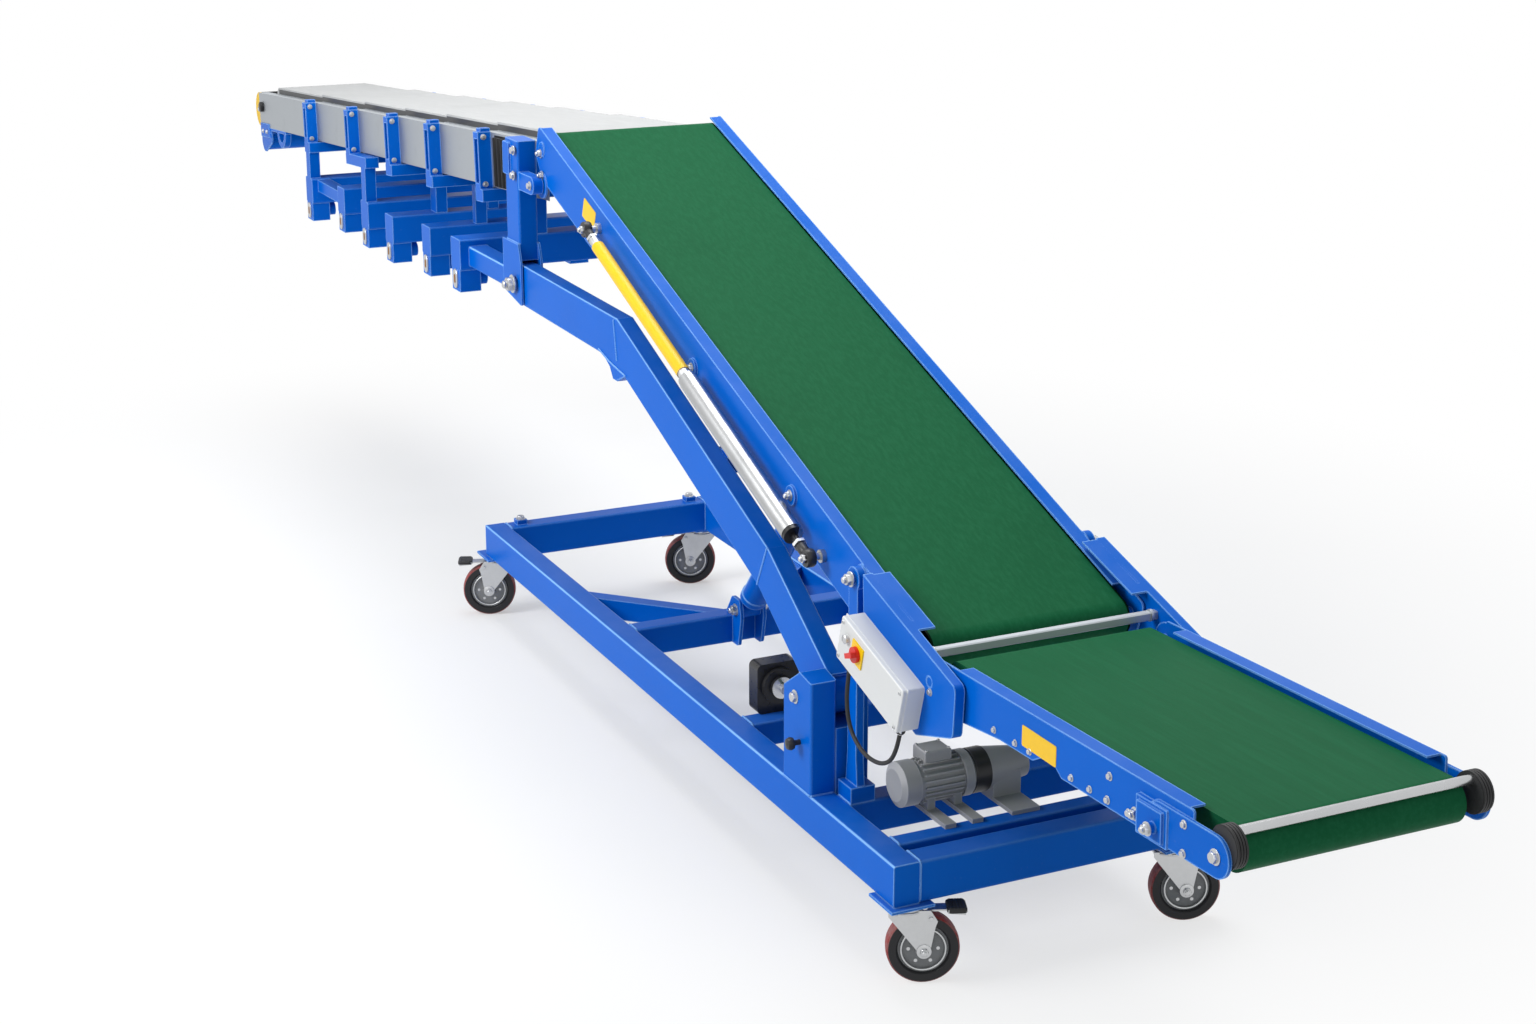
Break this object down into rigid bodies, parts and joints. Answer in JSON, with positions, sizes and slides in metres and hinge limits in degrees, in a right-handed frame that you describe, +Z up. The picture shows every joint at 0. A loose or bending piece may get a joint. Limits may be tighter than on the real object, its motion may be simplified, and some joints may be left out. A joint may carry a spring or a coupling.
{
  "type": "truck loading conveyor",
  "caption": "Wheeled truck loading conveyor: level infeed belt, green incline belt and a telescopic belt boom on lifting arms above a four-caster chassis.",
  "frame": {"origin": "on the floor under the middle of the machine's overall box", "axes": "+X along the machine towards the infeed end, +Z up, +Y to the side away from the control box"},
  "size_m": [8.7307, 1.1608, 1.9141],
  "materials": {
    "blue_paint": "glossy powder-coated blue",
    "green_belt": "smooth satin green belt",
    "grey_belt": "pale grey belt with a fine sheen",
    "aluminium": "plain mill-finished sheet",
    "zinc": "bright zinc plate",
    "chrome": "polished",
    "wheel_red": "dark red polyurethane on a black hub",
    "motor_grey": "grey machine enamel",
    "box_grey": "light grey textured enamel",
    "black": "black",
    "black_rubber": "black ribbed rubber",
    "yellow": "glossy yellow",
    "switch_red": "red and yellow plastic"
  },
  "bodies": {
    "chassis": {"chassis_rail_near": "blue_paint", "chassis_rail_far": "blue_paint", "crossbar_rear": "blue_paint", "crossbar_middle": "blue_paint", "crossbar_motor": "blue_paint", "crossbar_front": "blue_paint", "crossbar_lift": "blue_paint", "incline_stand": "blue_paint", "drive_motor": "motor_grey", "drive_gearbox": "motor_grey", "crank_housing": "black"},
    "arms": {"arm_near": "blue_paint", "arm_far": "blue_paint", "arm_tie": "blue_paint"},
    "lift_barrel": {"lift_cylinder": "blue_paint"},
    "lift_ram": {"lift_ram": "chrome"},
    "incline": {"incline_belt": "green_belt", "incline_side_near": "blue_paint", "incline_side_far": "blue_paint", "transfer_bar": "aluminium", "transfer_cover_near": "blue_paint", "transfer_cover_far": "blue_paint", "control_box": "box_grey", "rotary_switch": "switch_red", "control_cable": "black_rubber", "strut_barrel": "chrome", "strut_rod": "yellow"},
    "infeed": {"infeed_belt": "green_belt", "infeed_side_near": "blue_paint", "infeed_side_far": "blue_paint", "nose_bar": "chrome", "nose_bumper_near": "black_rubber", "nose_bumper_far": "black_rubber"},
    "boom_base": {"boom_frame": "blue_paint", "boom_base_section": "aluminium", "boom_base_belt": "grey_belt"},
    "boom_stage_1": {"boom_stage_1_section": "aluminium", "boom_stage_1_belt": "grey_belt", "boom_stage_1_frame": "blue_paint"},
    "boom_stage_2": {"boom_stage_2_section": "aluminium", "boom_stage_2_belt": "grey_belt", "boom_stage_2_frame": "blue_paint"},
    "boom_stage_3": {"boom_stage_3_section": "aluminium", "boom_stage_3_belt": "grey_belt", "boom_stage_3_frame": "blue_paint"},
    "boom_stage_4": {"boom_stage_4_section": "aluminium", "boom_stage_4_belt": "grey_belt", "boom_stage_4_frame": "blue_paint"},
    "boom_stage_5": {"boom_stage_5_section": "aluminium", "boom_stage_5_belt": "grey_belt", "boom_stage_5_frame": "blue_paint", "boom_tip": "yellow"},
    "caster_front_near": {"caster_fork_front_near": "zinc"},
    "wheel_front_near": {"caster_wheel_front_near": "wheel_red"},
    "caster_front_far": {"caster_fork_front_far": "zinc"},
    "wheel_front_far": {"caster_wheel_front_far": "wheel_red"},
    "caster_rear_near": {"caster_fork_rear_near": "zinc"},
    "wheel_rear_near": {"caster_wheel_rear_near": "wheel_red"},
    "caster_rear_far": {"caster_fork_rear_far": "zinc"},
    "wheel_rear_far": {"caster_wheel_rear_far": "wheel_red"}
  },
  "joints": [
    {"name": "arm_lift", "type": "hinge", "parent": "chassis", "child": "arms", "pos_m": [2.50734, 0, 0.625], "axis": [0, 1, 0], "range_deg": [-6, 8]},
    {"name": "incline_lift", "type": "hinge", "parent": "chassis", "child": "incline", "pos_m": [2.65834, 0, 1.005], "axis": [0, 1, 0], "range_deg": [-6.28, 8.28]},
    {"name": "boom_level", "type": "hinge", "parent": "arms", "child": "boom_base", "pos_m": [0.04134, 0, 1.332], "axis": [0, 1, 0], "range_deg": [-8.28, 6.28]},
    {"name": "lift_barrel_swing", "type": "hinge", "parent": "chassis", "child": "lift_barrel", "pos_m": [1.16734, 0, 0.385], "axis": [0, 1, 0], "range_deg": [-2.25, 1.7]},
    {"name": "lift_ram_slide", "type": "slide", "parent": "lift_barrel", "child": "lift_ram", "axis": [0.6528, 0, 0.7575], "range_m": [-0.09409, 0.12405]},
    {"name": "infeed_fold", "type": "hinge", "parent": "incline", "child": "infeed", "pos_m": [3.09734, 0, 0.861], "axis": [0, -1, 0], "range_deg": [0, 60]},
    {"name": "boom_slide_1", "type": "slide", "parent": "boom_base", "child": "boom_stage_1", "axis": [-0.9977, 0, -0.0671], "range_m": [0, 0.45]},
    {"name": "boom_slide_2", "type": "slide", "parent": "boom_stage_1", "child": "boom_stage_2", "axis": [-0.9977, 0, -0.0671], "range_m": [0, 0.45]},
    {"name": "boom_slide_3", "type": "slide", "parent": "boom_stage_2", "child": "boom_stage_3", "axis": [-0.9977, 0, -0.0671], "range_m": [0, 0.45]},
    {"name": "boom_slide_4", "type": "slide", "parent": "boom_stage_3", "child": "boom_stage_4", "axis": [-0.9977, 0, -0.0671], "range_m": [0, 0.45]},
    {"name": "boom_slide_5", "type": "slide", "parent": "boom_stage_4", "child": "boom_stage_5", "axis": [-0.9977, 0, -0.0671], "range_m": [0, 0.45]},
    {"name": "caster_swivel_front_near", "type": "hinge", "parent": "chassis", "child": "caster_front_near", "pos_m": [3.05234, -0.42, 0.24], "axis": [0, 0, 1], "continuous": true},
    {"name": "wheel_spin_front_near", "type": "hinge", "parent": "caster_front_near", "child": "wheel_front_near", "pos_m": [3.07032, -0.3755, 0.1], "axis": [-0.9272, 0.3746, 0], "continuous": true},
    {"name": "caster_swivel_front_far", "type": "hinge", "parent": "chassis", "child": "caster_front_far", "pos_m": [3.05234, 0.42, 0.24], "axis": [0, 0, 1], "continuous": true},
    {"name": "wheel_spin_front_far", "type": "hinge", "parent": "caster_front_far", "child": "wheel_front_far", "pos_m": [3.07032, 0.46451, 0.1], "axis": [-0.9272, 0.3746, 0], "continuous": true},
    {"name": "caster_swivel_rear_near", "type": "hinge", "parent": "chassis", "child": "caster_rear_near", "pos_m": [-0.17266, -0.42, 0.24], "axis": [0, 0, 1], "continuous": true},
    {"name": "wheel_spin_rear_near", "type": "hinge", "parent": "caster_rear_near", "child": "wheel_rear_near", "pos_m": [-0.19064, -0.46451, 0.1], "axis": [0.9272, -0.3746, 0], "continuous": true},
    {"name": "caster_swivel_rear_far", "type": "hinge", "parent": "chassis", "child": "caster_rear_far", "pos_m": [-0.17266, 0.42, 0.24], "axis": [0, 0, 1], "continuous": true},
    {"name": "wheel_spin_rear_far", "type": "hinge", "parent": "caster_rear_far", "child": "wheel_rear_far", "pos_m": [-0.19064, 0.3755, 0.1], "axis": [0.9272, -0.3746, 0], "continuous": true}
  ],
  "couplings": [
    {"joint": "incline_lift", "follows": "arm_lift", "ratio": 1},
    {"joint": "boom_level", "follows": "arm_lift", "ratio": -1},
    {"joint": "lift_barrel_swing", "follows": "arm_lift", "ratio": -0.27142},
    {"joint": "lift_ram_slide", "follows": "arm_lift", "m_per_rad": 0.85839},
    {"joint": "boom_slide_2", "follows": "boom_slide_1", "ratio": 1},
    {"joint": "boom_slide_3", "follows": "boom_slide_1", "ratio": 1},
    {"joint": "boom_slide_4", "follows": "boom_slide_1", "ratio": 1},
    {"joint": "boom_slide_5", "follows": "boom_slide_1", "ratio": 1}
  ]
}
